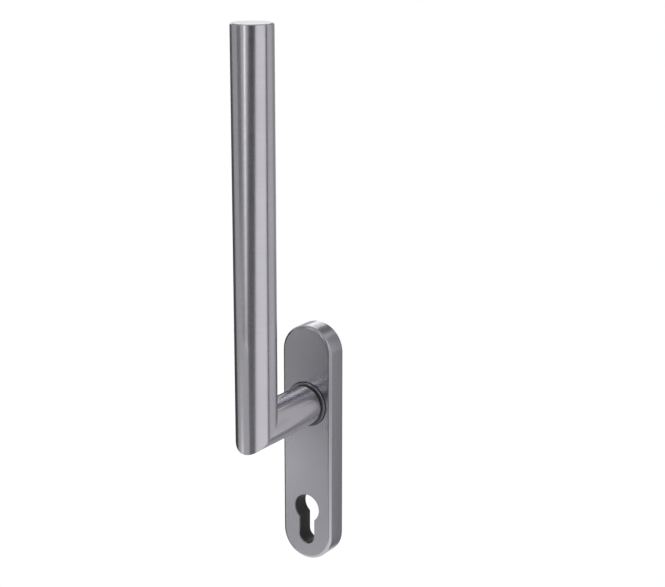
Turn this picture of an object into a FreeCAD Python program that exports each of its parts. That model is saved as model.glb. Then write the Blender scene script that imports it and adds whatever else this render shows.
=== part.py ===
import FreeCAD, Part
import math
import os

from FreeCAD import Vector

# Lever handle for a lift and slide door, on an oblong backplate, in millimetres.
# The origin is where the spindle's axis meets the face of the door. X points right as seen
# from the room, Z points up and Y points into the door, so the handle stands out along -Y.
# A depth is measured from the face of the door towards the room.

# Cover plate, pressed from sheet
plate_width = 35.0
plate_beyond_screw = 10.0
plate_beyond_cylinder = 10.0
plate_depth = 14.0
plate_wall = 1.2
plate_edge_radius = 2.0
plate_inner_radius = 0.8

# Key cylinder's cut-out, through the cover plate and the base
cylinder_drop = 69.0
cylinder_radius = 9.0
cylinder_slot_width = 11.2
cylinder_slot_reach = 24.0

# Tube lever
tube_diameter = 25.0
tube_wall = 2.0
grip_axis_depth = 67.5
grip_top = 237.5
grip_top_chamfer = 0.5
neck_end_chamfer = 0.6
cap_thickness = 3.0
cap_seat = 0.02

# Collar round the neck
collar_diameter = 28.0
collar_stand = 1.6
collar_web = 1.0
collar_wall = 1.2
collar_edge_radius = 0.5
collar_hole_gap = 0.3

# Bearing and hub
journal_diameter = 18.0
journal_gap = 0.04
bush_wall = 0.96
bush_flange = 1.0
front_flange_reach = 1.8
rear_flange_reach = 2.5
bush_split = 0.2
thrust_gap = 0.1
hub_plug_floor = 2.7
hub_plug_gap = 0.02
hub_plug_chamfer = 1.0
hub_flats = 16.0
hub_tail_inset = 0.2

# Square spindle
spindle_size = 10.0
spindle_gap = 0.05
spindle_chamfer = 0.6
spindle_reach = 18.0
spindle_socket_depth = 36.0
spindle_end_gap = 0.3

# Stop disc, which gives the lever its half turn and its three positions
disc_diameter = 25.0
disc_thickness = 4.0
disc_rear_depth = 3.0
disc_gap = 0.4
disc_key_gap = 0.05
lug_reach = 1.5
lug_half_angle = 12.0
lug_gap = 0.3
lug_spare_angle = 0.6
lever_turn = 180.0

# Ball detent above the disc
ball_diameter = 5.0
ball_rim_gap = 0.05
notch_depth = 0.8
notch_gap = 0.1
channel_gap = 0.05
spring_room = 9.95
spring_wire = 0.6
spring_wire_sides = 8
spring_mean_diameter = 3.8
spring_turns = 5

# Retaining ring in the hub's groove
ring_groove_depth = 0.5
ring_thickness = 1.2
ring_groove_width = 1.3
ring_width = 2.2
ring_offset = 0.4
ring_opening = 34.0
ring_ear_angle = 26.0
ring_ear_radius = 1.5
ring_ear_hole_radius = 0.8
ring_seat_gap = 0.05

# Wave washer between the disc and the rear bush
wave_thickness = 0.4
wave_room = 1.4
wave_gap = 0.05
wave_count = 3
wave_points = 24
wave_inner_gap = 0.5
wave_outer_gap = 0.3

# Moulded base under the cover plate
base_gap = 0.3
base_front_gap = 0.2
base_wall = 1.8
base_rim_width = 2.4
base_floor = 2.0
base_rear_relief = 1.5
base_front_chamfer = 0.5
rib_thickness = 1.3
rib_front_drop = 1.6
rib_above_cylinder = 16.0
rib_below_cylinder = 14.0
tunnel_wall = 1.7
crush_rib_height = 0.2
crush_rib_radius = 0.6
crush_rib_count = 5
crush_rib_end = 11.0

# Block of the base round the stop disc
block_beyond_plate = 2.5
block_floor = 1.4
boss_wall = 1.2

# Rear plate that closes the block
rear_plate_thickness = 1.0
rear_plate_inset = 1.1
rear_plate_beyond_channel = 2.5
rear_plate_beyond_screw = 4.5
rear_plate_corner = 4.0
rear_plate_gap = 0.1
rear_hole_gap = 0.5
rear_screw_x = 9.5
rear_screw_z = 21.5
rear_screw_diameter = 2.9
rear_screw_head = 5.4
rear_screw_length = 8.0
rear_screw_point = 0.7
rear_screw_socket = 2.0
rear_screw_socket_depth = 0.9

# Fixing screws and their sleeves
fixing_spacing = 80.0
fixing_diameter = 6.0
fixing_shank_diameter = 5.4
fixing_head_diameter = 11.0
fixing_reach = 12.0
fixing_socket = 4.0
fixing_socket_depth = 2.2
fixing_chamfer = 0.8
sleeve_wall = 1.2
sleeve_gap = 0.25
sleeve_rear_gap = 0.3
sleeve_front_drop = 2.0
sleeve_flange_rim = 1.2
sleeve_flange_thickness = 1.4
fixing_boss_wall = 1.1

# Sizes that follow from the ones above
half_width = plate_width / 2
fixing_height = fixing_spacing / 2
plate_above = fixing_height + plate_beyond_screw
plate_below = cylinder_drop + cylinder_slot_reach + plate_beyond_cylinder
tube_radius = tube_diameter / 2
bore_radius = tube_radius - tube_wall
collar_radius = collar_diameter / 2
collar_front = plate_depth + collar_stand
neck_end = collar_front + bush_flange + thrust_gap
journal_radius = journal_diameter / 2
bush_bore = journal_radius + journal_gap
bush_radius = bush_bore + bush_wall
rear_flange_radius = bush_radius + rear_flange_reach
disc_radius = disc_diameter / 2
disc_front = disc_rear_depth + disc_thickness
disc_middle = disc_rear_depth + disc_thickness / 2
pocket_radius = disc_radius + disc_gap
pocket_front = disc_front + wave_room
lug_radius = disc_radius + lug_reach
lug_track_radius = lug_radius + lug_gap
ball_radius = ball_diameter / 2
ball_height = disc_radius + ball_radius + ball_rim_gap
ball_seat_height = ball_height - notch_depth
channel_top = ball_height + ball_radius + spring_room
base_front = plate_depth - plate_wall - base_front_gap
base_inset = plate_wall + base_gap
base_half_width = half_width - base_inset
base_above = plate_above - base_inset
base_below = plate_below - base_inset
block_front = pocket_front + block_floor
boss_radius = lug_track_radius + boss_wall
nose_radius = collar_radius - collar_wall
collar_web_rear = collar_front - collar_web
rear_plate_half_width = base_half_width - rear_plate_inset
rear_plate_above = channel_top + rear_plate_beyond_channel
rear_plate_below = rear_screw_z + rear_plate_beyond_screw
block_above = rear_plate_above + block_beyond_plate
block_below = rear_plate_below + block_beyond_plate
groove_radius = journal_radius - ring_groove_depth
ring_front = disc_rear_depth - ring_seat_gap
spindle_half = spindle_size / 2
fixing_radius = fixing_diameter / 2
sleeve_bore = fixing_radius + sleeve_gap
sleeve_radius = sleeve_bore + sleeve_wall
sleeve_front = base_front - sleeve_front_drop
sleeve_flange_rear = sleeve_front - sleeve_flange_thickness
sleeve_flange_radius = fixing_head_diameter / 2 + sleeve_flange_rim
axis_start = Vector(0, 0, 0)
axis_out = Vector(0, -1, 0)
spare = 1.0


# Shapes between two depths

def cylinder(radius, near, far, x=0.0, z=0.0):
    return Part.makeCylinder(radius, far - near, Vector(x, -near, z), axis_out)


def block(x_low, x_high, near, far, z_low, z_high):
    corner = Vector(x_low, -far, z_low)
    return Part.makeBox(x_high - x_low, far - near, z_high - z_low, corner)


def turned(outline):
    # The outline is a list of radius and depth
    points = [Vector(radius, -depth, 0) for radius, depth in outline]
    points.append(points[0])
    face = Part.Face(Part.makePolygon(points))
    return face.revolve(axis_start, axis_out, 360)


def sector(inner, outer, near, far, start, sweep):
    # Angles are in degrees from +X towards +Z
    corners = [(inner, near), (outer, near), (outer, far), (inner, far), (inner, near)]
    face = Part.Face(Part.makePolygon([Vector(r, -depth, 0) for r, depth in corners]))
    face.rotate(axis_start, axis_out, start)
    return face.revolve(axis_start, axis_out, sweep)


def extruded(edges, near, far):
    face = Part.Face(Part.Wire(edges))
    return face.extrude(Vector(0, near - far, 0))


def arc(start, middle, end):
    return Part.Arc(start, middle, end).toShape()


def line(start, end):
    return Part.makeLine(start, end)


def oblong(half, above, below, near, far):
    # A plate with two half-round ends
    high = above - half
    low = half - below
    left_low = Vector(-half, -near, low)
    left_high = Vector(-half, -near, high)
    right_high = Vector(half, -near, high)
    right_low = Vector(half, -near, low)
    edges = [
        line(left_low, left_high),
        arc(left_high, Vector(0, -near, above), right_high),
        line(right_high, right_low),
        arc(right_low, Vector(0, -near, -below), left_low),
    ]
    return extruded(edges, near, far)


def cylinder_outline(margin, near, far):
    # The key cylinder's profile: a round head with a narrower body below it
    radius = cylinder_radius + margin
    half = cylinder_slot_width / 2 + margin
    centre = -cylinder_drop
    neck = centre - math.sqrt(radius ** 2 - half ** 2)
    bottom = centre - cylinder_slot_reach - margin
    right_neck = Vector(half, -near, neck)
    left_neck = Vector(-half, -near, neck)
    left_low = Vector(-half, -near, bottom + half)
    right_low = Vector(half, -near, bottom + half)
    edges = [
        arc(right_neck, Vector(0, -near, centre + radius), left_neck),
        line(left_neck, left_low),
        arc(left_low, Vector(0, -near, bottom), right_low),
        line(right_low, right_neck),
    ]
    return extruded(edges, near, far)


def hexagon(across_flats, near, far, x=0.0, z=0.0):
    corner = across_flats / math.sqrt(3)
    points = []
    for step in range(7):
        angle = math.radians(60 * step)
        points.append(Vector(x + corner * math.cos(angle), -near, z + corner * math.sin(angle)))
    return Part.Face(Part.makePolygon(points)).extrude(Vector(0, near - far, 0))


def edges_at(shape, depth):
    # Edges that lie in the plane at this depth
    flat = [edge for edge in shape.Edges if edge.BoundBox.YLength < 1e-6]
    return [edge for edge in flat if abs(edge.BoundBox.YMin + depth) < 1e-6]


def fused(shapes):
    return shapes[0].multiFuse(shapes[1:]).removeSplitter()


# Cover plate

def cover_plate():
    outside = oblong(half_width, plate_above, plate_below, 0, plate_depth)
    outside = outside.makeFillet(plate_edge_radius, edges_at(outside, plate_depth))
    hollow_front = plate_depth - plate_wall
    hollow = oblong(half_width - plate_wall, plate_above - plate_wall,
                    plate_below - plate_wall, -spare, hollow_front)
    hollow = hollow.makeFillet(plate_inner_radius, edges_at(hollow, hollow_front))
    neck_hole = cylinder(collar_radius + collar_hole_gap, hollow_front - spare, plate_depth + spare)
    key_hole = cylinder_outline(0, hollow_front - spare, plate_depth + spare)
    return outside.cut(hollow).cut(neck_hole).cut(key_hole)


# Lever

def mitre_side(grip_side):
    # The mitre is the plane through the crossing of the two axes, at 45 degrees
    reach = grip_top + grip_axis_depth
    low = Vector(-tube_diameter, -grip_axis_depth - reach, -reach)
    high = Vector(-tube_diameter, -grip_axis_depth + reach, reach)
    if grip_side:
        corner = Vector(-tube_diameter, -grip_axis_depth - reach, reach)
    else:
        corner = Vector(-tube_diameter, -grip_axis_depth + reach, -reach)
    face = Part.Face(Part.makePolygon([low, high, corner, low]))
    return face.extrude(Vector(2 * tube_diameter, 0, 0))


def lever_rod(radius, top, end_depth):
    crossing = Vector(0, -grip_axis_depth, -tube_diameter)
    upright = Part.makeCylinder(radius, top + tube_diameter, crossing, Vector(0, 0, 1))
    level = cylinder(radius, end_depth, grip_axis_depth + tube_diameter)
    grip = upright.common(mitre_side(True))
    neck = level.common(mitre_side(False))
    return grip.fuse(neck).removeSplitter()


def lever_tube():
    outside = lever_rod(tube_radius, grip_top, neck_end)
    outside = outside.makeChamfer(neck_end_chamfer, edges_at(outside, neck_end))
    rim = [edge for edge in outside.Edges
           if edge.BoundBox.ZLength < 1e-6 and abs(edge.BoundBox.ZMin - grip_top) < 1e-6]
    outside = outside.makeChamfer(grip_top_chamfer, rim)
    inside = lever_rod(bore_radius, grip_top + spare, neck_end - spare)
    return outside.cut(inside)


def grip_end_cap():
    # A disc set flush in the open end of the grip
    start = Vector(0, -grip_axis_depth, grip_top - cap_thickness)
    return Part.makeCylinder(bore_radius - cap_seat, cap_thickness, start, Vector(0, 0, 1))


def neck_hub():
    plug_radius = bore_radius - hub_plug_gap
    plug_front = spindle_socket_depth + hub_plug_floor
    groove_front = ring_front + ring_seat_gap
    groove_rear = groove_front - ring_groove_width
    outline = [
        (0, hub_tail_inset),
        (journal_radius, hub_tail_inset),
        (journal_radius, groove_rear),
        (groove_radius, groove_rear),
        (groove_radius, groove_front),
        (journal_radius, groove_front),
        (journal_radius, neck_end),
        (plug_radius, neck_end),
        (plug_radius, plug_front - hub_plug_chamfer),
        (plug_radius - hub_plug_chamfer, plug_front),
        (0, plug_front),
    ]
    hub = turned(outline)
    for side in (-1, 1):
        inner = side * hub_flats / 2
        outer = side * tube_radius
        flat = block(min(inner, outer), max(inner, outer), 0, disc_front, -tube_radius, tube_radius)
        hub = hub.cut(flat)
    half = spindle_half + spindle_gap
    return hub.cut(block(-half, half, 0, spindle_socket_depth, -half, half))


def square_spindle():
    front = spindle_socket_depth - spindle_end_gap
    bar = block(-spindle_half, spindle_half, -spindle_reach, front, -spindle_half, spindle_half)
    ends = edges_at(bar, front) + edges_at(bar, -spindle_reach)
    return bar.makeChamfer(spindle_chamfer, ends)


def stop_disc():
    disc = cylinder(disc_radius, disc_rear_depth, disc_front)
    lug = sector(disc_radius - spare, lug_radius, disc_rear_depth, disc_front,
                 180 - lug_half_angle, 2 * lug_half_angle)
    disc = disc.fuse(lug).removeSplitter()
    bore = cylinder(journal_radius + disc_key_gap, disc_rear_depth - spare, disc_front + spare)
    key = hub_flats / 2 + disc_key_gap
    bore = bore.common(block(-key, key, 0, disc_front + spare, -disc_radius, disc_radius))
    disc = disc.cut(bore)
    for turn in (0, 90, 180):
        angle = math.radians(90 - turn)
        notch = cylinder(ball_radius + notch_gap, disc_rear_depth - spare, disc_front + spare,
                         ball_seat_height * math.cos(angle), ball_seat_height * math.sin(angle))
        disc = disc.cut(notch)
    return disc


def retaining_ring():
    # A spring ring, wider opposite its opening, with an ear each side of the opening
    rear = ring_front - ring_thickness
    outer_radius = groove_radius + ring_width
    body = cylinder(outer_radius, rear, ring_front, 0, -ring_offset)
    ear_distance = groove_radius + ring_ear_radius + ring_offset
    ears = []
    for side in (-1, 1):
        angle = math.radians(90 + side * ring_ear_angle)
        place = (ear_distance * math.cos(angle), ear_distance * math.sin(angle))
        ears.append((cylinder(ring_ear_radius, rear, ring_front, *place),
                     cylinder(ring_ear_hole_radius, rear - spare, ring_front + spare, *place)))
    shape = fused([body] + [ear for ear, hole in ears])
    shape = shape.cut(cylinder(groove_radius + ring_seat_gap, rear - spare, ring_front + spare))
    shape = shape.cut(sector(groove_radius - spare, lug_radius, rear - spare, ring_front + spare,
                             90 - ring_opening / 2, ring_opening))
    for ear, hole in ears:
        shape = shape.cut(hole)
    return shape


# Bearing

def neck_collar():
    outline = [
        (bush_radius, collar_web_rear),
        (nose_radius, collar_web_rear),
        (nose_radius, base_front),
        (collar_radius, base_front),
        (collar_radius, collar_front),
        (bush_radius, collar_front),
    ]
    collar = turned(outline)
    rim = [edge for edge in edges_at(collar, collar_front)
           if edge.BoundBox.XLength > 2 * nose_radius]
    return collar.makeFillet(collar_edge_radius, rim)


def front_bush():
    split = (pocket_front + collar_front) / 2
    flange_radius = bush_radius + front_flange_reach
    outline = [
        (bush_bore, split + bush_split),
        (bush_radius, split + bush_split),
        (bush_radius, collar_front),
        (flange_radius, collar_front),
        (flange_radius, collar_front + bush_flange),
        (bush_bore, collar_front + bush_flange),
    ]
    return turned(outline)


def rear_bush():
    split = (pocket_front + collar_front) / 2
    outline = [
        (bush_bore, pocket_front),
        (rear_flange_radius, pocket_front),
        (rear_flange_radius, pocket_front + bush_flange),
        (bush_radius, pocket_front + bush_flange),
        (bush_radius, split),
        (bush_bore, split),
    ]
    return turned(outline)


def wave_washer():
    middle = disc_front + wave_room / 2
    height = wave_room / 2 - wave_thickness / 2 - wave_gap

    def ripple(radius, shift):
        points = []
        for step in range(wave_points):
            angle = 2 * math.pi * step / wave_points
            depth = middle + shift + height * math.sin(wave_count * angle)
            points.append(Vector(radius * math.cos(angle), -depth, radius * math.sin(angle)))
        curve = Part.BSplineCurve()
        curve.interpolate(points, PeriodicFlag=True)
        return curve.toShape()

    inner = journal_radius + wave_inner_gap
    outer = disc_radius - wave_outer_gap
    half = wave_thickness / 2
    rims = [ripple(inner, -half), ripple(outer, -half), ripple(outer, half), ripple(inner, half)]
    faces = [Part.makeRuledSurface(rims[i], rims[(i + 1) % 4]) for i in range(4)]
    shell = Part.makeShell(faces)
    shell.sewShape()
    solid = Part.makeSolid(shell)
    if solid.Volume < 0:
        solid.reverse()
    return solid


# Ball detent

def detent_ball():
    return Part.makeSphere(ball_radius, Vector(0, -disc_middle, ball_height))


def detent_spring():
    # The first turn rests on the ball and the last one on the end of its channel.
    # The wire is thin, so an eight-sided section stands for its round one.
    mean_radius = spring_mean_diameter / 2
    wire_radius = spring_wire / 2
    rise = math.sqrt((ball_radius + wire_radius) ** 2 - mean_radius ** 2)
    start = ball_height + rise + ball_rim_gap
    height = channel_top - wire_radius - channel_gap - start
    helix = Part.makeHelix(height / spring_turns, height, mean_radius)
    corners = []
    for step in range(spring_wire_sides + 1):
        angle = 2 * math.pi * (step % spring_wire_sides) / spring_wire_sides
        out = mean_radius + wire_radius * math.cos(angle)
        corners.append(Vector(out, 0, wire_radius * math.sin(angle)))
    section = Part.makePolygon(corners)
    coil = Part.Wire(helix.Edges).makePipeShell([section], True, True)
    coil.translate(Vector(0, -disc_middle, start))
    return coil


# Moulded base

def base_shell():
    body = oblong(base_half_width, base_above, base_below, 0, base_front)
    body = body.makeChamfer(base_front_chamfer, edges_at(body, base_front))
    hollow = oblong(base_half_width - base_wall, base_above - base_wall, base_below - base_wall,
                    base_rear_relief + base_floor, base_front + spare)
    relief = oblong(base_half_width - base_rim_width, base_above - base_rim_width,
                    base_below - base_rim_width, -spare, base_rear_relief)
    return body.cut(hollow).cut(relief)


def base_ribs():
    # Three cross ribs, one lengthwise rib at each end, and two beside the lower screw boss
    front = base_front - rib_front_drop
    half = rib_thickness / 2
    reach = base_half_width - base_wall / 2
    top = base_above - base_wall / 2
    bottom = base_wall / 2 - base_below
    upper_cross = rib_above_cylinder - cylinder_drop
    ribs = []
    for height in (-cylinder_drop - rib_below_cylinder, -cylinder_drop, upper_cross):
        ribs.append(block(-reach, reach, base_rear_relief, front, height - half, height + half))
    ribs.append(block(-half, half, base_rear_relief, front, bottom, -block_below))
    ribs.append(block(-half, half, base_rear_relief, front, block_above, top))
    for x in (-base_half_width / 2, base_half_width / 2):
        ribs.append(block(x - half, x + half, base_rear_relief, front, upper_cross, -block_below))
    return ribs


def disc_block():
    outline = oblong(base_half_width, base_above, base_below, 0, block_front)
    slab = block(-half_width, half_width, 0, block_front, -block_below, block_above)
    return outline.common(slab)


def bearing_boss():
    boss = cylinder(boss_radius, 0, base_front)
    nose = cylinder(nose_radius, 0, collar_web_rear)
    return boss.fuse(nose)


def fixing_boss(height):
    return cylinder(sleeve_flange_radius + fixing_boss_wall, 0, sleeve_front, 0, height)


def crush_ribs():
    # Slim upright ribs on the long sides, which hold the cover plate by light pressure
    low = half_width - plate_below + crush_rib_end
    high = plate_above - half_width - crush_rib_end
    ribs = []
    for step in range(crush_rib_count):
        height = low + (high - low) * step / (crush_rib_count - 1)
        for side in (-1, 1):
            x = side * (base_half_width + crush_rib_height - crush_rib_radius)
            ribs.append(cylinder(crush_rib_radius, 0, base_front - spare, x, height))
    return ribs


def disc_pocket():
    pocket = cylinder(pocket_radius, 0, pocket_front)
    flange_seat = cylinder(rear_flange_radius, 0, pocket_front + bush_flange)
    start = 180 - lug_half_angle - lug_spare_angle
    sweep = lever_turn + 2 * (lug_half_angle + lug_spare_angle)
    lug_track = sector(disc_radius - spare, lug_track_radius, 0, disc_front + lug_gap,
                       start, sweep)
    bore = cylinder(bush_radius, 0, collar_front)
    return [pocket, flange_seat, lug_track, bore]


def ball_channel():
    radius = ball_radius + channel_gap
    slot = block(-radius, radius, 0, disc_middle, 0, channel_top)
    groove = Part.makeCylinder(radius, channel_top, Vector(0, -disc_middle, 0), Vector(0, 0, 1))
    return [slot, groove]


def rear_plate_outline(margin, near, far):
    width = rear_plate_half_width + margin
    plate = block(-width, width, near, far, -rear_plate_below - margin, rear_plate_above + margin)
    corners = [edge for edge in plate.Edges if edge.BoundBox.YLength > (far - near) / 2]
    return plate.makeFillet(rear_plate_corner, corners)


def rear_screw_places():
    return [(x * rear_screw_x, z * rear_screw_z) for x in (-1, 1) for z in (-1, 1)]


def fixing_places():
    return {"upper": fixing_height, "lower": -fixing_height}


def base_plate():
    solids = [base_shell(), disc_block(), bearing_boss()]
    solids.append(cylinder_outline(tunnel_wall, base_rear_relief, base_front))
    solids += base_ribs()
    solids += [fixing_boss(height) for height in fixing_places().values()]
    base = fused(solids)
    outline = oblong(base_half_width, base_above, base_below, 0, base_front)
    nose = cylinder(nose_radius, base_front - spare, collar_web_rear)
    base = base.common(outline.fuse(nose))
    base = fused([base] + crush_ribs())
    cuts = disc_pocket() + ball_channel()
    cuts.append(cylinder_outline(0, -spare, base_front + spare))
    cuts.append(rear_plate_outline(rear_plate_gap, -spare, rear_plate_thickness))
    for x, z in rear_screw_places():
        cuts.append(rear_screw_blank(x, z))
    for height in fixing_places().values():
        cuts.append(cylinder(sleeve_radius, -spare, sleeve_front + spare, 0, height))
        cuts.append(cylinder(sleeve_flange_radius, sleeve_flange_rear, sleeve_front + spare, 0, height))
    return base.cut(cuts)


def rear_retainer_plate():
    plate = rear_plate_outline(0, 0, rear_plate_thickness)
    plate = plate.cut(cylinder(journal_radius + rear_hole_gap, -spare, rear_plate_thickness + spare))
    for x, z in rear_screw_places():
        plate = plate.cut(rear_screw_blank(x, z))
    return plate


# Screws

def rear_screw_blank(x, z):
    # A countersunk screw, its head flush with the rear plate, threaded up to the head
    head = rear_screw_head / 2
    radius = rear_screw_diameter / 2
    outline = [
        (0, 0),
        (head, 0),
        (radius, head - radius),
        (radius, rear_screw_length - rear_screw_point),
        (radius - rear_screw_point, rear_screw_length),
        (0, rear_screw_length),
    ]
    screw = turned(outline)
    screw.translate(Vector(x, 0, z))
    return screw


def rear_screw(x, z):
    socket = hexagon(rear_screw_socket, -spare, rear_screw_socket_depth, x, z)
    return rear_screw_blank(x, z).cut(socket)


def fixing_blank(height):
    # A countersunk screw with a slimmer shank, threaded from the face of the door onwards
    head = fixing_head_diameter / 2
    shank = fixing_shank_diameter / 2
    outline = [
        (0, sleeve_front),
        (head, sleeve_front),
        (shank, sleeve_front - head + shank),
        (shank, 0),
        (fixing_radius, 0),
        (fixing_radius, fixing_chamfer - fixing_reach),
        (fixing_radius - fixing_chamfer, -fixing_reach),
        (0, -fixing_reach),
    ]
    screw = turned(outline)
    screw.translate(Vector(0, 0, height))
    return screw


def fixing_screw(height):
    socket = hexagon(fixing_socket, sleeve_front - fixing_socket_depth, sleeve_front + spare,
                     0, height)
    return fixing_blank(height).cut(socket)


def screw_sleeve(height):
    # Its flange takes the screw's head, so that the load doesn't rest on the moulding
    tube = cylinder(sleeve_radius, sleeve_rear_gap, sleeve_front, 0, height)
    flange = cylinder(sleeve_flange_radius, sleeve_flange_rear, sleeve_front, 0, height)
    sleeve = tube.fuse(flange).cut(cylinder(sleeve_bore, -spare, sleeve_front, 0, height))
    return sleeve.cut(fixing_blank(height)).removeSplitter()


def write(shapes):
    os.makedirs("parts", exist_ok=True)
    for name, shape in shapes.items():
        solids = shape.Solids
        if len(solids) == 1:
            shape = solids[0]
        print(name, "solids", len(solids), "valid", shape.isValid(), "volume", round(shape.Volume, 1))
        shape.exportStep("parts/" + name + ".step")


def main():
    shapes = {
        "cover_plate": cover_plate(),
        "lever_tube": lever_tube(),
        "grip_end_cap": grip_end_cap(),
        "neck_hub": neck_hub(),
        "square_spindle": square_spindle(),
        "stop_disc": stop_disc(),
        "retaining_ring": retaining_ring(),
        "neck_collar": neck_collar(),
        "front_bush": front_bush(),
        "rear_bush": rear_bush(),
        "wave_washer": wave_washer(),
        "detent_ball": detent_ball(),
        "detent_spring": detent_spring(),
        "base_plate": base_plate(),
        "rear_retainer_plate": rear_retainer_plate(),
    }
    for number, place in enumerate(rear_screw_places(), start=1):
        shapes["retainer_screw_" + str(number)] = rear_screw(*place)
    for name, height in fixing_places().items():
        shapes["fixing_screw_" + name] = fixing_screw(height)
        shapes["screw_sleeve_" + name] = screw_sleeve(height)
    write(shapes)


main()
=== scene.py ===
# Lift and slide door handle: its finishes, the threaded screws, a pale studio and the camera. Lengths
# are in metres.
import math

import bmesh
import bpy
from mathutils import Matrix, Vector


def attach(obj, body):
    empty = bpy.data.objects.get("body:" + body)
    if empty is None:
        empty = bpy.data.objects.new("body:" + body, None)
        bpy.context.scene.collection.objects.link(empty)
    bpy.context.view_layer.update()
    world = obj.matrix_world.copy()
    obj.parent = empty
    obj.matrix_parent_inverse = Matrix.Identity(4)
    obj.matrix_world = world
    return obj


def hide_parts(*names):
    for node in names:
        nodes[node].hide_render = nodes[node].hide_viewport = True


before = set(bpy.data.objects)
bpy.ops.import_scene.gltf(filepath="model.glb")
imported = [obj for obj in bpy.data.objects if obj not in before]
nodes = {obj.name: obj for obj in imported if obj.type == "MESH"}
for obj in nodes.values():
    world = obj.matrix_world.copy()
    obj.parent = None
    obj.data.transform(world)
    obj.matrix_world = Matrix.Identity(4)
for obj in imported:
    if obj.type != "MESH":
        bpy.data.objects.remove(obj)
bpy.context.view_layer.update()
print("frame loaded:", len(nodes), "nodes")


# Small helpers for building node materials

def startMaterial(name):
    material = bpy.data.materials.new(name)
    material.use_nodes = True
    tree = material.node_tree
    return material, tree, tree.nodes["Principled BSDF"]


def addNode(tree, kind, **settings):
    node = tree.nodes.new(kind)
    for key, value in settings.items():
        setattr(node, key, value)
    return node


def feed(tree, socket, value):
    # A number or a colour is set on the socket, another node's output is linked to it
    if isinstance(value, (int, float)):
        socket.default_value = value
    elif isinstance(value, tuple):
        socket.default_value = (*value, 1.0)
    else:
        tree.links.new(value, socket)


def objectPoint(tree, scale=(1, 1, 1), move=(0, 0, 0), turn=(0, 0, 0)):
    # The object's own coordinates in metres, moved, turned and stretched for one pattern
    coords = addNode(tree, "ShaderNodeTexCoord")
    mapping = addNode(tree, "ShaderNodeMapping")
    mapping.inputs["Location"].default_value = move
    mapping.inputs["Rotation"].default_value = turn
    mapping.inputs["Scale"].default_value = scale
    tree.links.new(coords.outputs["Object"], mapping.inputs["Vector"])
    return mapping.outputs["Vector"]


def math2(tree, operation, a, b=0.0):
    # One step of arithmetic on one or two values
    node = addNode(tree, "ShaderNodeMath", operation=operation)
    feed(tree, node.inputs[0], a)
    feed(tree, node.inputs[1], b)
    return node.outputs["Value"]


def times(tree, a, b):
    return math2(tree, "MULTIPLY", a, b)


def plus(tree, a, b):
    return math2(tree, "ADD", a, b)


def fromAxis(tree, a, b):
    # How far a point lies from a turning axis
    return math2(tree, "SQRT", plus(tree, times(tree, a, a), times(tree, b, b)))


def splitPoint(tree, point):
    node = addNode(tree, "ShaderNodeSeparateXYZ")
    tree.links.new(point, node.inputs["Vector"])
    return node.outputs["X"], node.outputs["Y"], node.outputs["Z"]


def joinPoint(tree, x, y, z):
    node = addNode(tree, "ShaderNodeCombineXYZ")
    for socket, value in zip(node.inputs, (x, y, z)):
        feed(tree, socket, value)
    return node.outputs["Vector"]


def noiseOf(tree, point, scale=1.0, detail=3.0, roughness=0.55, distortion=0.0):
    node = addNode(tree, "ShaderNodeTexNoise")
    node.inputs["Scale"].default_value = scale
    node.inputs["Detail"].default_value = detail
    node.inputs["Roughness"].default_value = roughness
    node.inputs["Distortion"].default_value = distortion
    tree.links.new(point, node.inputs["Vector"])
    return node.outputs["Fac"]


def spread(tree, value, low, high, start=0.3, end=0.7):
    # Stretches start to end, which is the middle of a noise unless given, over low to high
    node = addNode(tree, "ShaderNodeMapRange")
    for name, number in (("From Min", start), ("From Max", end), ("To Min", low), ("To Max", high)):
        node.inputs[name].default_value = number
    tree.links.new(value, node.inputs["Value"])
    return node.outputs["Result"]


def blendColours(tree, factor, first, second):
    node = addNode(tree, "ShaderNodeMix", data_type="RGBA")
    tree.links.new(factor, node.inputs["Factor"])
    feed(tree, node.inputs[6], first)  # the colour sockets share their names with others, so they go by number
    feed(tree, node.inputs[7], second)
    return node.outputs[2]


def bumpFrom(tree, height, look):
    node = addNode(tree, "ShaderNodeBump")
    node.inputs["Strength"].default_value = look["bump"]
    node.inputs["Distance"].default_value = look["depth"]
    tree.links.new(height, node.inputs["Height"])
    return node.outputs["Normal"]


def brushAlong(tree, shader, direction, amount, turn=0.0):
    # The reflection is drawn out along this direction of the object, or across it at a quarter turn
    toWorld = addNode(tree, "ShaderNodeVectorTransform", vector_type="VECTOR", convert_from="OBJECT",
                      convert_to="WORLD")
    tree.links.new(direction, toWorld.inputs["Vector"])
    tree.links.new(toWorld.outputs["Vector"], shader.inputs["Tangent"])
    shader.inputs["Anisotropic"].default_value = amount
    shader.inputs["Anisotropic Rotation"].default_value = turn


# How far the surface turns within a look's edge, where its rubbed colour begins and where it is full
edgeWear = {"samples": 4, "begins": 0.02, "full": 0.25}


def rubAndSheenEdges(tree, tint, look):
    # Paler along outer edges, where handling rubs the surface, and unchanged on the flats. On the plate this is also
    # a painted highlight along its rounded edges
    rounded = addNode(tree, "ShaderNodeBevel", samples=edgeWear["samples"])
    rounded.inputs["Radius"].default_value = look["edge"]
    geometry = addNode(tree, "ShaderNodeNewGeometry")
    dot = addNode(tree, "ShaderNodeVectorMath", operation="DOT_PRODUCT")
    tree.links.new(rounded.outputs["Normal"], dot.inputs[0])
    tree.links.new(geometry.outputs["Normal"], dot.inputs[1])
    turned = math2(tree, "SUBTRACT", 1.0, dot.outputs["Value"])
    rubbed = spread(tree, turned, 0.0, 1.0, edgeWear["begins"], edgeWear["full"])
    return blendColours(tree, times(tree, rubbed, look["rub"]), tint, look["rubColour"])


def fitShader(tree, shader, tint, rough, normal, metallic=1.0):
    tree.links.new(tint, shader.inputs["Base Color"])
    tree.links.new(rough, shader.inputs["Roughness"])
    tree.links.new(normal, shader.inputs["Normal"])
    shader.inputs["Metallic"].default_value = metallic


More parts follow.
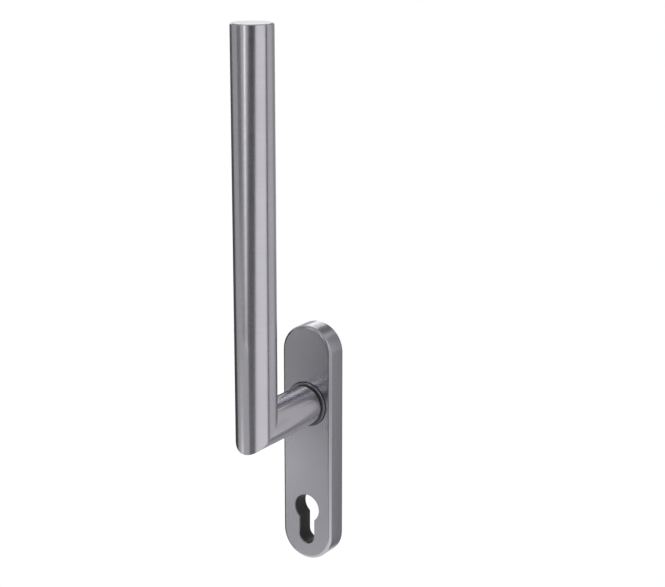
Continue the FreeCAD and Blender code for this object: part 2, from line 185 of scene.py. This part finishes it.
# Brushed steel. blotchColour lies over it by broad, along the lines, and by blotch, in clouds. The
# roughness varies by lineRough with the lines and by smudge with the clouds. edge is how wide the
# edges are rubbed, rub how much. depth is the height of the lines, bump how strongly they show
satinLook = {
    "colour": (0.513, 0.5, 0.538), "lineColour": (0.553, 0.54, 0.579), "blotchColour": (0.483, 0.47, 0.511),
    "rubColour": (0.68, 0.67, 0.69), "rub": 0.25, "edge": 0.0006,
    "roughness": 0.25, "lineRough": 0.04, "smudge": 0.012, "blotch": 0.5, "blotchScale": 38.0,
    "lineDetail": 5.0, "lineGrit": 0.65, "depth": 0.000012, "bump": 0.35, "broad": 0.5, "broadScale": 0.25,
}


def finishMetal(tree, shader, grain, look):
    # grain is a point stretched so that its noise gives the brush lines of this piece
    lines = noiseOf(tree, grain, detail=look["lineDetail"], roughness=look["lineGrit"])
    broad = noiseOf(tree, grain, scale=look["broadScale"], detail=2.0)
    blotches = noiseOf(tree, objectPoint(tree), scale=look["blotchScale"], detail=2.0)
    tint = blendColours(tree, spread(tree, lines, 0.0, 1.0), look["colour"], look["lineColour"])
    tint = blendColours(tree, spread(tree, broad, 0.0, look["broad"]), tint, look["blotchColour"])
    tint = blendColours(tree, spread(tree, blotches, 0.0, look["blotch"]), tint, look["blotchColour"])
    rough = spread(tree, lines, look["roughness"] - look["lineRough"], look["roughness"] + look["lineRough"])
    for clouds in (blotches, broad):
        rough = plus(tree, rough, spread(tree, clouds, -look["smudge"], look["smudge"]))
    fitShader(tree, shader, rubAndSheenEdges(tree, tint, look), rough, bumpFrom(tree, lines, look))


# The plate's edges are rubbed paler than the other steel: partly real wear, partly a painted highlight along its
# rounded edges
plateLook = dict(
    satinLook, colour=(0.473, 0.465, 0.505), lineColour=(0.495, 0.487, 0.528), blotchColour=(0.448, 0.44, 0.479),
    rubColour=(0.62, 0.61, 0.65), rub=0.4, roughness=0.265, lineRough=0.006, smudge=0.005, bump=0.07,
    blotchScale=24.0, broad=0.12, grain=(2600, 2600, 45), drawn=0.35, drawnTurn=0.25,
)


def plateSteel(look):
    # Fine satin lines along the plate
    material, tree, shader = startMaterial("plateSatinSteel")
    finishMetal(tree, shader, objectPoint(tree, scale=look["grain"]), look)
    brushAlong(tree, shader, joinPoint(tree, 0.0, 0.0, 1.0), look["drawn"], look["drawnTurn"])
    return material


# Where the grip's axis stands in front of the door, and where the fixing screws are above and below the spindle
places = {"gripAxis": 0.0675, "screwHeight": 0.040}

leverLook = dict(satinLook, roughness=0.22, lineRough=0.03, bump=0.28, neckPolish=0.06, fine=2400.0, along=60.0,
                 drawn=0.5)


def leverSteel(look):
    # The brush ran round the tube: lines lie across the grip, and across the neck below the mitre
    material, tree, shader = startMaterial("leverSatinSteel")
    x, y, z = splitPoint(tree, objectPoint(tree))
    isGrip = math2(tree, "GREATER_THAN", math2(tree, "SUBTRACT", z, y), places["gripAxis"])
    isNeck = math2(tree, "SUBTRACT", 1.0, isGrip)
    length = plus(tree, times(tree, z, isGrip), times(tree, y, isNeck))
    side = plus(tree, times(tree, y, isGrip), times(tree, z, isNeck))
    grain = joinPoint(tree, times(tree, x, look["along"]), times(tree, side, look["along"]),
                      times(tree, length, look["fine"]))
    finishMetal(tree, shader, grain, look)
    rough = shader.inputs["Roughness"]
    polish = times(tree, isNeck, look["neckPolish"])
    tree.links.new(math2(tree, "SUBTRACT", rough.links[0].from_socket, polish), rough)
    brushAlong(tree, shader, joinPoint(tree, 0.0, isNeck, isGrip), look["drawn"])
    return material


turning = {"fine": 3000.0, "around": 0.6}


def turnedSteel(name, centre, axis, look):
    # Fine lines round a turning axis that runs along y or z
    material, tree, shader = startMaterial(name)
    x, y, z = splitPoint(tree, objectPoint(tree, move=tuple(-v for v in centre)))
    side, length = (z, y) if axis == "y" else (y, z)
    turn = math2(tree, "SINE", math2(tree, "ARCTAN2", side, x))
    grain = joinPoint(tree, times(tree, fromAxis(tree, x, side), turning["fine"]),
                      times(tree, turn, turning["around"]), times(tree, length, turning["fine"]))
    finishMetal(tree, shader, grain, look)
    return material


capLook = dict(satinLook, roughness=0.22)
hubLook = dict(satinLook, colour=(0.46, 0.46, 0.468), lineColour=(0.53, 0.53, 0.535),
               blotchColour=(0.42, 0.42, 0.43), roughness=0.27)
brassLook = dict(satinLook, colour=(0.58, 0.42, 0.19), lineColour=(0.68, 0.52, 0.27),
                 blotchColour=(0.45, 0.3, 0.14), rubColour=(0.8, 0.66, 0.4), roughness=0.27, blotch=0.8)
# The collar's steel is coloured darker than the other steel: painted shade for the shaded ring round the neck. Its
# last two entries paint more shade into its lower half
collarLook = dict(satinLook, colour=(0.3, 0.29, 0.31), lineColour=(0.34, 0.33, 0.35),
                  blotchColour=(0.27, 0.265, 0.28), rub=0.03, roughness=0.26, bump=0.4,
                  paintedShade=(0.13, 0.125, 0.13), paintedShadeHeights=(-0.010, 0.001))


def collarSteel(look):
    # A turned ring, its colour darkened in its lower half as painted shade
    material = turnedSteel("collarSatinSteel", (0.0, 0.0, 0.0), "y", look)
    tree = material.node_tree
    colour = tree.nodes["Principled BSDF"].inputs["Base Color"]
    height = splitPoint(tree, objectPoint(tree))[2]
    # painted shade: the colour darkens towards the bottom of the ring, between the two given heights
    low = spread(tree, height, 1.0, 0.0, *look["paintedShadeHeights"])
    tree.links.new(blendColours(tree, low, colour.links[0].from_socket, look["paintedShade"]), colour)
    return material


zincLook = {
    "blue": (0.53, 0.57, 0.62), "straw": (0.6, 0.59, 0.54), "dull": (0.42, 0.44, 0.46), "dullness": 0.35,
    "cloudScale": 90.0, "cloudSwirl": 0.6, "speckScale": 2600.0,
    "rubColour": (0.72, 0.73, 0.74), "rub": 0.35, "edge": 0.0004,
    "roughness": 0.34, "speckRough": 0.05, "cloudRough": 0.03, "depth": 0.00002, "bump": 0.35,
}
screwLook = dict(zincLook, roughness=0.28)


def platedSteel(name, look):
    # Zinc plating: faint bluish and straw clouds over a soft grey, with fine pickling grain
    material, tree, shader = startMaterial(name)
    clouds = noiseOf(tree, objectPoint(tree), scale=look["cloudScale"], distortion=look["cloudSwirl"])
    speck = noiseOf(tree, objectPoint(tree), scale=look["speckScale"], detail=2.0)
    tint = blendColours(tree, spread(tree, clouds, 0.0, 1.0), look["blue"], look["straw"])
    tint = blendColours(tree, spread(tree, speck, 0.0, look["dullness"]), tint, look["dull"])
    rough = spread(tree, speck, look["roughness"] - look["speckRough"], look["roughness"] + look["speckRough"])
    rough = plus(tree, rough, spread(tree, clouds, -look["cloudRough"], look["cloudRough"]))
    fitShader(tree, shader, rubAndSheenEdges(tree, tint, look), rough, bumpFrom(tree, speck, look))
    return material


castLook = {
    "dark": (0.42, 0.425, 0.435), "light": (0.5, 0.5, 0.5), "rubColour": (0.66, 0.66, 0.67), "rub": 0.5,
    "edge": 0.0005, "skinScale": 700.0, "flowScale": 120.0, "flowStretch": (1, 1, 0.4), "flowSwirl": 1.2,
    "skinRough": (0.42, 0.58), "depth": 0.00005, "bump": 0.5,
}


def castZinc(look):
    # As cast: dull, faintly pitted, darker in the skin and brighter where it slides
    material, tree, shader = startMaterial("castZinc")
    skin = noiseOf(tree, objectPoint(tree), scale=look["skinScale"], detail=4.0)
    flow = noiseOf(tree, objectPoint(tree, scale=look["flowStretch"]), scale=look["flowScale"], detail=2.0,
                   distortion=look["flowSwirl"])
    tint = blendColours(tree, spread(tree, flow, 0.0, 1.0), look["dark"], look["light"])
    fitShader(tree, shader, rubAndSheenEdges(tree, tint, look), spread(tree, skin, *look["skinRough"]),
              bumpFrom(tree, skin, look))
    return material


springLook = {
    "dark": (0.15, 0.155, 0.17), "light": (0.24, 0.235, 0.23), "rubColour": (0.45, 0.45, 0.46), "rub": 0.5,
    "edge": 0.0002, "oilScale": 260.0, "drawnScale": 3200.0, "oilRough": (0.26, 0.4),
    "drawnRough": (-0.03, 0.03), "depth": 0.00001, "bump": 0.4,
}


def springSteel(look):
    # Oil blackened wire and strip, rubbed bright here and there
    material, tree, shader = startMaterial("blackenedSpringSteel")
    oil = noiseOf(tree, objectPoint(tree), scale=look["oilScale"], detail=4.0)
    drawn = noiseOf(tree, objectPoint(tree), scale=look["drawnScale"], detail=2.0)
    tint = blendColours(tree, spread(tree, oil, 0.0, 1.0), look["dark"], look["light"])
    rough = plus(tree, spread(tree, oil, *look["oilRough"]), spread(tree, drawn, *look["drawnRough"]))
    fitShader(tree, shader, rubAndSheenEdges(tree, tint, look), rough, bumpFrom(tree, drawn, look))
    return material


ballLook = {
    "dark": (0.7, 0.7, 0.71), "light": (0.76, 0.76, 0.765), "hazeScale": 420.0, "scratches": (6000, 300, 900),
    "hazeRough": (0.05, 0.09), "scratchRough": (0.0, 0.03), "depth": 0.000004, "bump": 0.3,
}


def polishedBall(look):
    # Bright ground steel with a light haze and hair scratches
    material, tree, shader = startMaterial("polishedBall")
    haze = noiseOf(tree, objectPoint(tree), scale=look["hazeScale"])
    scratch = noiseOf(tree, objectPoint(tree, scale=look["scratches"]), detail=2.0)
    tint = blendColours(tree, spread(tree, haze, 0.0, 1.0), look["dark"], look["light"])
    rough = plus(tree, spread(tree, haze, *look["hazeRough"]), spread(tree, scratch, *look["scratchRough"]))
    fitShader(tree, shader, tint, rough, bumpFrom(tree, scratch, look))
    return material


baseLook = {
    "dark": (0.021, 0.021, 0.023), "light": (0.034, 0.034, 0.036), "rubColour": (0.12, 0.12, 0.12), "rub": 0.4,
    "edge": 0.0005, "fibreColour": (0.13, 0.13, 0.13), "fibreShow": 0.3, "fibres": (2100, 2100, 700),
    "fibreTurn": (0.0, 0.0, 0.3), "fibreWidth": (0.05, 0.16), "flowScale": 70.0, "flowStretch": (1.0, 1.0, 0.25),
    "flowSwirl": 1.5, "sparkScale": 2300.0, "sparkGrit": 0.6, "sparkRough": (0.44, 0.6),
    "flowRough": (-0.04, 0.04), "depth": 0.00004, "bump": 0.5,
}


def mouldedBase(look):
    # Black filled plastic: eroded mould texture, grey fibre specks, flow shading, paler rubbed edges
    material, tree, shader = startMaterial("mouldedBasePlastic")
    sparks = noiseOf(tree, objectPoint(tree), scale=look["sparkScale"], roughness=look["sparkGrit"])
    flow = noiseOf(tree, objectPoint(tree, scale=look["flowStretch"]), scale=look["flowScale"], detail=2.0,
                   distortion=look["flowSwirl"])
    fibres = addNode(tree, "ShaderNodeTexVoronoi", feature="F1")
    fibres.inputs["Scale"].default_value = 1.0
    tree.links.new(objectPoint(tree, scale=look["fibres"], turn=look["fibreTurn"]), fibres.inputs["Vector"])
    speck = spread(tree, fibres.outputs["Distance"], 1.0, 0.0, *look["fibreWidth"])
    tint = blendColours(tree, spread(tree, flow, 0.0, 1.0), look["dark"], look["light"])
    tint = blendColours(tree, times(tree, speck, look["fibreShow"]), tint, look["fibreColour"])
    rough = plus(tree, spread(tree, sparks, *look["sparkRough"]), spread(tree, flow, *look["flowRough"]))
    fitShader(tree, shader, rubAndSheenEdges(tree, tint, look), rough, bumpFrom(tree, sparks, look), metallic=0.0)
    return material


bushLook = {
    "dark": (0.02, 0.02, 0.021), "light": (0.034, 0.034, 0.036), "cloudScale": 150.0, "fine": 2400.0,
    "ringRough": (0.34, 0.46), "depth": 0.00001, "bump": 0.4,
}


def bearingPlastic(look):
    # Black acetal: waxy, faintly clouded, with light turning lines
    material, tree, shader = startMaterial("bearingPlastic")
    clouds = noiseOf(tree, objectPoint(tree), scale=look["cloudScale"])
    x, y, z = splitPoint(tree, objectPoint(tree))
    turned = joinPoint(tree, times(tree, fromAxis(tree, x, z), look["fine"]), 0.0, times(tree, y, look["fine"]))
    rings = noiseOf(tree, turned, detail=2.0)
    tint = blendColours(tree, spread(tree, clouds, 0.0, 1.0), look["dark"], look["light"])
    fitShader(tree, shader, tint, spread(tree, rings, *look["ringRough"]), bumpFrom(tree, rings, look),
              metallic=0.0)
    return material


screwPlating = platedSteel("screwPlating", screwLook)
finishes = (
    (plateSteel(plateLook), ("cover_plate",)),
    (leverSteel(leverLook), ("lever_tube",)),
    (turnedSteel("capSatinSteel", (0.0, -places["gripAxis"], 0.0), "z", capLook), ("grip_end_cap",)),
    (collarSteel(collarLook), ("neck_collar",)),
    (turnedSteel("turnedHubSteel", (0.0, 0.0, 0.0), "y", hubLook), ("neck_hub",)),
    (platedSteel("spindlePlating", zincLook), ("square_spindle",)),
    (platedSteel("retainerPlating", zincLook), ("rear_retainer_plate",)),
    (castZinc(castLook), ("stop_disc",)),
    (bearingPlastic(bushLook), ("front_bush", "rear_bush")),
    (polishedBall(ballLook), ("detent_ball",)),
    (mouldedBase(baseLook), ("base_plate",)),
    (springSteel(springLook), ("retaining_ring", "wave_washer", "detent_spring")),
    (turnedSteel("upperSleeveBrass", (0.0, 0.0, places["screwHeight"]), "y", brassLook), ("screw_sleeve_upper",)),
    (turnedSteel("lowerSleeveBrass", (0.0, 0.0, -places["screwHeight"]), "y", brassLook), ("screw_sleeve_lower",)),
    (screwPlating, ("retainer_screw_1", "retainer_screw_2", "retainer_screw_3", "retainer_screw_4",
                    "fixing_screw_upper", "fixing_screw_lower")),
)
dressed = [(name, material) for material, names in finishes for name in names]
for name, material in dressed:
    for place in nodes[name].material_slots:
        place.material = material
print("finishes set:", len(dressed), "nodes")


# The two fixing screws get a real helical thread behind the door's face, and front and rear are how far
# their ends lie from it. rim is how far the corners of the head's edge lie inward and back, flanks are
# parts of the pitch, and spareTurns of thread are wound past each end and cut off
fixingScrew = {
    "head": 0.0055, "shank": 0.0027, "crest": 0.0030, "root": 0.00252, "pitch": 0.0010,
    "front": -0.0106, "rear": 0.0120, "overlap": 0.0004, "chamfer": 0.0008,
    "rim": ((0.00015, 0.0), (0.00008, 0.00004), (0.0001, 0.0001)), "flanks": (0.12, 0.5, 0.62),
    "socket": 0.0020, "socketDepth": 0.0022, "socketInset": 0.4, "sides": 48, "spareTurns": 2,
    "merge": 0.000002, "cutSlack": 1e-7, "sharpAngle": 32.0,
}


def turnProfile(bm, points, sides, turns=1, rise=0.0):
    # points are (radius, y) pairs, turned about the y axis, or wound into a helix where rise is set
    corners = [bm.verts.new((radius, y, 0.0)) for radius, y in points]
    edges = [bm.edges.new(pair) for pair in zip(corners, corners[1:])]
    bmesh.ops.spin(bm, geom=corners + edges, cent=(0, 0, 0), axis=(0, 1, 0), angle=2 * math.pi * turns,
                   dvec=(0, rise, 0), steps=sides * turns, use_merge=rise == 0.0)


def closeEnds(bm):
    bmesh.ops.holes_fill(bm, edges=[edge for edge in bm.edges if edge.is_boundary], sides=0)


def screwBody(screw):
    # Countersunk head, slim shank and hexagon socket
    bm = bmesh.new()
    front, head, shank = screw["front"], screw["head"], screw["shank"]
    rim = [(head - inward, front + back) for inward, back in screw["rim"]]
    turnProfile(bm, rim + [(shank, front + head - shank), (shank, screw["overlap"])], screw["sides"])
    closeEnds(bm)
    rimBack = front + screw["rim"][-1][1]
    top = [face for face in bm.faces if len(face.verts) > 4 and face.calc_center_median().y < rimBack]
    bmesh.ops.inset_region(bm, faces=top, thickness=head * screw["socketInset"])
    for vert in top[0].verts:
        # the inner ring moves onto the outline of a hexagon
        turn = math.atan2(vert.co.z, vert.co.x)
        corner = (turn + math.pi / 6) % (math.pi / 3) - math.pi / 6
        reach = screw["socket"] / math.cos(corner)
        vert.co.x, vert.co.z = reach * math.cos(turn), reach * math.sin(turn)
    pushed = bmesh.ops.extrude_face_region(bm, geom=top)["geom"]
    socketFloor = [part for part in pushed if isinstance(part, bmesh.types.BMVert)]
    bmesh.ops.translate(bm, verts=socketFloor, vec=(0, screw["socketDepth"], 0))
    bmesh.ops.delete(bm, geom=[face for face in top if face.is_valid], context="FACES_ONLY")
    return bm


def screwThread(screw):
    # One profile wound into a helix, cut square at both ends and closed
    bm = bmesh.new()
    pitch, crest, root, spare = screw["pitch"], screw["crest"], screw["root"], screw["spareTurns"]
    foot, rise, fall = (part * pitch for part in screw["flanks"])
    outline = [(root, 0.0), (root, foot), (crest, rise), (crest, fall), (root, pitch)]
    turns = math.ceil(screw["rear"] / pitch) + spare + 1
    turnProfile(bm, [(radius, y - spare * pitch) for radius, y in outline], screw["sides"], turns,
                pitch / screw["sides"])
    bmesh.ops.remove_doubles(bm, verts=bm.verts, dist=screw["merge"])
    for level, side in ((0.0, -1), (screw["rear"], 1)):
        bmesh.ops.bisect_plane(bm, geom=bm.verts[:] + bm.edges[:] + bm.faces[:], dist=screw["cutSlack"],
                               plane_co=(0, level, 0), plane_no=(0, side, 0), clear_outer=True)
    for vert in bm.verts:
        # the thread runs out in a chamfer at its rear end
        radius = math.hypot(vert.co.x, vert.co.z)
        most = crest - screw["chamfer"] + screw["rear"] - vert.co.y
        if radius > most:
            vert.co.x, vert.co.z = vert.co.x * most / radius, vert.co.z * most / radius
    closeEnds(bm)
    return bm


def addObject(name, data):
    thing = bpy.data.objects.new(name, data)
    bpy.context.scene.collection.objects.link(thing)
    return thing


def makeScrew(side, height, screw, material):
    mesh = bpy.data.meshes.new("threaded_screw_" + side)
    whole = bmesh.new()
    for part in (screwBody(screw), screwThread(screw)):
        bmesh.ops.recalc_face_normals(part, faces=part.faces)
        part.to_mesh(mesh)
        whole.from_mesh(mesh)
        part.free()
    bmesh.ops.translate(whole, verts=whole.verts, vec=(0, 0, height))
    for face in whole.faces:
        face.smooth = True
    whole.to_mesh(mesh)
    whole.free()
    mesh.set_sharp_from_angle(angle=math.radians(screw["sharpAngle"]))
    mesh.materials.append(material)
    piece = addObject("threaded_screw_" + side, mesh)
    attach(piece, "base")
    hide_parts("fixing_screw_" + side)


for side, height in (("upper", places["screwHeight"]), ("lower", -places["screwHeight"])):
    makeScrew(side, height, fixingScrew, screwPlating)
print("threaded screws made")


# A pale floor well below the handle, white behind it, and cards that only reflections show
studio = {
    "floor": -0.46, "floorSize": 7.0, "paperColour": (0.82, 0.82, 0.82), "fibreColour": (0.84, 0.84, 0.84),
    "fibreScale": 900.0, "floorRoughness": 0.9, "floorGloss": 0.1, "floorLift": 0.32, "worldLight": 0.82,
}


def whiteForViews(tree):
    # 1 for the view itself and for what metal and glass show of the background
    path = addNode(tree, "ShaderNodeLightPath")
    seen = math2(tree, "MAXIMUM", path.outputs["Is Camera Ray"], path.outputs["Is Glossy Ray"])
    return math2(tree, "MAXIMUM", seen, path.outputs["Is Transmission Ray"])


def makeFloor():
    mesh = bpy.data.meshes.new("studio_floor")
    bm = bmesh.new()
    bmesh.ops.create_grid(bm, x_segments=2, y_segments=2, size=studio["floorSize"])
    bmesh.ops.translate(bm, verts=bm.verts, vec=(0, 0, studio["floor"]))
    bm.to_mesh(mesh)
    bm.free()
    material, tree, shader = startMaterial("floorPaper")
    fibre = noiseOf(tree, objectPoint(tree), scale=studio["fibreScale"], detail=2.0)
    tree.links.new(blendColours(tree, fibre, studio["paperColour"], studio["fibreColour"]),
                   shader.inputs["Base Color"])
    shader.inputs["Roughness"].default_value = studio["floorRoughness"]
    shader.inputs["Specular IOR Level"].default_value = studio["floorGloss"]
    # the lift makes the paper paler in the view and in reflections, and adds no diffuse light
    shader.inputs["Emission Color"].default_value = (1.0, 1.0, 1.0, 1.0)
    tree.links.new(times(tree, whiteForViews(tree), studio["floorLift"]), shader.inputs["Emission Strength"])
    mesh.materials.append(material)
    addObject("studio_floor", mesh)


def makeWorld():
    world = bpy.data.worlds.new("paleStudio")
    bpy.context.scene.world = world
    world.use_nodes = True
    tree = world.node_tree
    light = tree.nodes["Background"]
    light.inputs["Color"].default_value = (1.0, 1.0, 1.0, 1.0)
    # white in the view and in reflections, and a little less as diffuse light
    strength = spread(tree, whiteForViews(tree), studio["worldLight"], 1.0, 0.0, 1.0)
    tree.links.new(strength, light.inputs["Strength"])
    world.cycles.sampling_method = "NONE"


# Each card is a sheet bent round the handle. Its edges are in degrees from the front, positive to the
# right, at the height edgesAt, and lean is how many degrees each one moves per metre above that. range
# is its lowest and highest point, radius its distance from the z axis, and topRadius that at its top.
# levels are its brightness at some heights, and sides multiplies it, from the card's far left to
# sidesEnd on x. The cards glow though they are no lamps, and only paint the reflections in the metal. The flags
# and the fill stand close to the handle, each a painted reflection in one edge or face of it
cardDefaults = {"lean": (0.0, 0.0), "range": (-0.455, 0.8), "radius": 0.8, "sides": (1.0, 1.0)}
cardSheet = {"edgesAt": 0.1675, "sidesEnd": 0.1, "columns": 24, "rows": 48}
cards = {
    "left_dark": {"edges": (-147.0, -87.0), "lean": (0.0, -20.0), "levels": ((-0.3, 0.06), (0.2, 0.13)),
                  "range": (-0.455, 0.2)},
    "left_upper": {"edges": (-136.0, -60.0), "levels": ((0.2, 0.35),), "range": (0.2, 0.8)},
    "left_rear_light": {"edges": (-136.0, -102.0), "levels": ((0.27, 1.3),), "range": (0.27, 0.62), "radius": 0.79},
    "left_grey": {"edges": (-87.0, 13.0), "lean": (-20.0, 66.0),
                  "levels": ((-0.3, 0.66), (0.2, 0.6), (0.27, 0.8), (0.35, 0.9)),
                  "sides": (0.8, 1.08), "range": (-0.455, 0.35)},
    "front_upper": {"edges": (-60.0, -17.0), "lean": (0.0, 66.0), "levels": ((0.35, 0.1),), "range": (0.35, 0.8)},
    "front_upper_grey": {"edges": (-17.0, 13.0), "lean": (66.0, 66.0), "levels": ((0.35, 0.5),),
                         "range": (0.35, 0.8)},
    "front_key": {"edges": (-54.0, -38.5), "lean": (75.0, 75.0), "levels": ((0.4, 3.4),), "range": (0.38, 0.62),
                  "radius": 0.79},
    "front_middle_dark": {"edges": (-46.0, -24.0), "levels": ((0.0, 0.25),), "range": (-0.05, 0.33), "radius": 0.79},
    "front_dark": {"edges": (13.0, 48.0), "lean": (66.0, 53.0), "levels": ((-0.3, 0.2), (0.2, 0.09))},
    "right_light": {"edges": (48.0, 102.0), "lean": (53.0, 24.3), "levels": ((0.0, 1.05),)},
    "right_line": {"edges": (102.0, 112.0), "lean": (24.3, 24.3), "levels": ((0.0, 0.05),)},
    "rear_grey": {"edges": (112.0, 155.0), "lean": (24.3, 0.0), "levels": ((0.0, 0.67),)},
    "rear_dark": {"edges": (155.0, 213.0), "levels": ((-0.2, 0.45), (0.0, 0.4)), "range": (-0.455, 0.26)},
    "rear_upper": {"edges": (155.0, 166.0), "levels": ((0.26, 0.75),), "range": (0.26, 0.8)},
    "rear_upper_dark": {"edges": (166.0, 195.0), "levels": ((0.26, 0.18),), "range": (0.26, 0.8)},
    "rear_light": {"edges": (195.0, 224.0), "levels": ((0.26, 2.6),), "range": (0.26, 0.62)},
    "neck_flag": {"edges": (216.0, 246.0), "levels": ((0.03, 0.5),), "range": (0.025, 0.082), "radius": 0.1},
    "cap_grey": {"edges": (196.0, 236.0), "levels": ((0.24, 0.85),), "range": (0.238, 0.34), "radius": 0.4},
    "rear_low": {"edges": (130.0, 230.0), "levels": ((-0.3, 0.78),), "range": (-0.455, -0.25), "radius": 0.45},
    "wall_flag": {"edges": (119.0, 175.0), "levels": ((-0.12, 0.26), (0.0, 0.34)), "range": (-0.165, 0.03),
                  "radius": 0.0566},
    "wall_flag_top": {"edges": (125.0, 165.0), "levels": ((0.03, 0.34),), "range": (0.03, 0.075), "radius": 0.0566},
    "rim_flag": {"edges": (-80.0, -50.0), "levels": ((0.0, 0.03),), "range": (-0.15, 0.055), "radius": 0.06},
    "edge_flag": {"edges": (40.0, 96.0), "levels": ((-0.12, 1.15), (-0.07, 0.85), (0.0, 0.6), (0.03, 0.7)),
                  "range": (-0.16, 0.05), "radius": 0.06},
    "grip_fill": {"edges": (-14.0, -0.5), "levels": ((0.0, 0.6),), "range": (-0.035, 0.042), "radius": 0.12},
    "front_low": {"edges": (-54.0, -2.0), "range": (-0.455, -0.115), "radius": 0.6,
                  "levels": ((-0.45, 0.5), (-0.36, 0.78), (-0.335, 0.5), (-0.285, 0.33), (-0.24, 0.21),
                             (-0.19, 0.07), (-0.115, 0.05))},
    "front_low_light": {"edges": (-54.0, -34.5), "levels": ((-0.3, 1.72),), "range": (-0.306, -0.22),
                        "radius": 0.59},
    "front_low_dark": {"edges": (-54.0, -34.0), "levels": ((-0.3, 0.1),), "range": (-0.34, -0.31),
                       "radius": 0.59},
    "front_low_edge": {"edges": (-21.0, -2.0), "levels": ((-0.45, 0.5), (-0.3, 0.9), (-0.25, 0.5)),
                       "range": (-0.455, -0.24), "radius": 0.59},
    "front_middle_light": {"edges": (-54.0, -34.5), "levels": ((-0.2, 0.64),), "range": (-0.22, -0.115),
                           "radius": 0.59},
    "right_low": {"edges": (-2.0, 30.0), "levels": ((-0.45, 0.32), (-0.3, 0.45)), "range": (-0.455, -0.3),
                  "radius": 0.6},
    "right_low_light": {"edges": (30.0, 98.0), "lean": (0.0, 24.3), "levels": ((-0.45, 1.2), (-0.27, 0.9)),
                        "range": (-0.455, -0.255), "radius": 0.6},
    "front_strip": {"edges": (-7.0, -1.0), "lean": (36.0, 36.0), "levels": ((-0.26, 0.64), (0.17, 2.3)),
                    "radius": 0.78},
    "ceiling": {"edges": (-147.0, 213.0), "levels": ((0.8, 0.55),), "range": (0.79, 0.83), "topRadius": 0.02},
}


def between(stops, place):
    # Straight lines between the stops, level beyond them
    for (low, first), (high, second) in zip(stops, stops[1:]):
        if place < high:
            return first + (second - first) * max(0.0, place - low) / (high - low)
    return stops[-1][1]


def cardGlow():
    # Each card glows by its own level, which its mesh carries
    material = bpy.data.materials.new("cardGlow")
    material.use_nodes = True
    tree = material.node_tree
    tree.nodes.clear()
    level = addNode(tree, "ShaderNodeAttribute", attribute_name="level")
    glow = addNode(tree, "ShaderNodeEmission")
    output = addNode(tree, "ShaderNodeOutputMaterial")
    tree.links.new(level.outputs["Fac"], glow.inputs["Strength"])
    tree.links.new(glow.outputs["Emission"], output.inputs["Surface"])
    material.cycles.emission_sampling = "NONE"  # a reflection meets it, but it is no lamp
    return material


def makeCard(name, card, material):
    card = {**cardDefaults, **card}
    radius = card["radius"]
    topRadius = card.get("topRadius", radius)
    low, high = card["range"]
    sides = ((-radius, card["sides"][0]), (cardSheet["sidesEnd"], card["sides"][1]))
    mesh = bpy.data.meshes.new(name)
    bm = bmesh.new()
    bmesh.ops.create_grid(bm, x_segments=cardSheet["columns"], y_segments=cardSheet["rows"], size=0.5)
    level = bm.verts.layers.float.new("level")
    for vert in bm.verts:
        # bend the flat sheet round the handle, its two side edges leaning
        across, up = vert.co.x + 0.5, vert.co.y + 0.5
        height = low + up * (high - low)
        left, right = (edge + lean * (height - cardSheet["edgesAt"])
                       for edge, lean in zip(card["edges"], card["lean"]))
        turn = math.radians(left + across * (right - left))
        reach = radius + up * (topRadius - radius)
        vert.co = (reach * math.sin(turn), -reach * math.cos(turn), height)
        vert[level] = between(card["levels"], height) * between(sides, vert.co.x)
    bm.to_mesh(mesh)
    bm.free()
    mesh.materials.append(material)
    sheet = addObject(name, mesh)
    sheet.visible_camera = sheet.visible_diffuse = sheet.visible_transmission = False
    sheet.visible_volume_scatter = sheet.visible_shadow = False


# turn in degrees from the front, positive to the right, lift in degrees above level
lamps = {
    "soft_front": {"turn": -20.0, "lift": 65.0, "away": 1.6, "size": (0.9, 0.9), "power": 2.6},
}


def makeLamp(name, lamp):
    data = bpy.data.lights.new(name, "AREA")
    data.shape = "RECTANGLE"
    data.size, data.size_y = lamp["size"]
    data.energy = lamp["power"]
    turn, lift = math.radians(lamp["turn"]), math.radians(lamp["lift"])
    toLamp = Vector((math.sin(turn) * math.cos(lift), -math.cos(turn) * math.cos(lift), math.sin(lift)))
    thing = addObject(name, data)
    thing.location = toLamp * lamp["away"]
    thing.rotation_euler = toLamp.to_track_quat("Z", "Y").to_euler()
    thing.visible_camera = False


makeFloor()
makeWorld()
glow = cardGlow()
for name, card in cards.items():
    makeCard(name, card, glow)
for name, lamp in lamps.items():
    makeLamp(name, lamp)
bpy.context.scene.view_settings.view_transform = "Standard"
print("studio set")


# The camera stands at the right and a little above, as in the photograph. Its angles are in radians, its
# place and clip in metres, and lens and sensor in millimetres
cameraPlace = {
    "at": (0.514866, -0.797659, 0.320459), "turn": 0.5641432, "pitch": -0.2604400, "roll": 0.0013267,
    "lens": 86.623, "sensor": 36.0, "clip": (0.05, 20.0),
}


def makeCamera(place):
    data = bpy.data.cameras.new("camera")
    data.sensor_width, data.lens = place["sensor"], place["lens"]
    data.clip_start, data.clip_end = place["clip"]
    camera = addObject("camera", data)
    camera.matrix_world = (
        Matrix.Translation(place["at"])
        @ Matrix.Rotation(place["turn"], 4, "Z")
        @ Matrix.Rotation(math.pi / 2 + place["pitch"], 4, "X")
        @ Matrix.Rotation(place["roll"], 4, "Z")
    )
    bpy.context.scene.camera = camera


makeCamera(cameraPlace)
print("camera set")
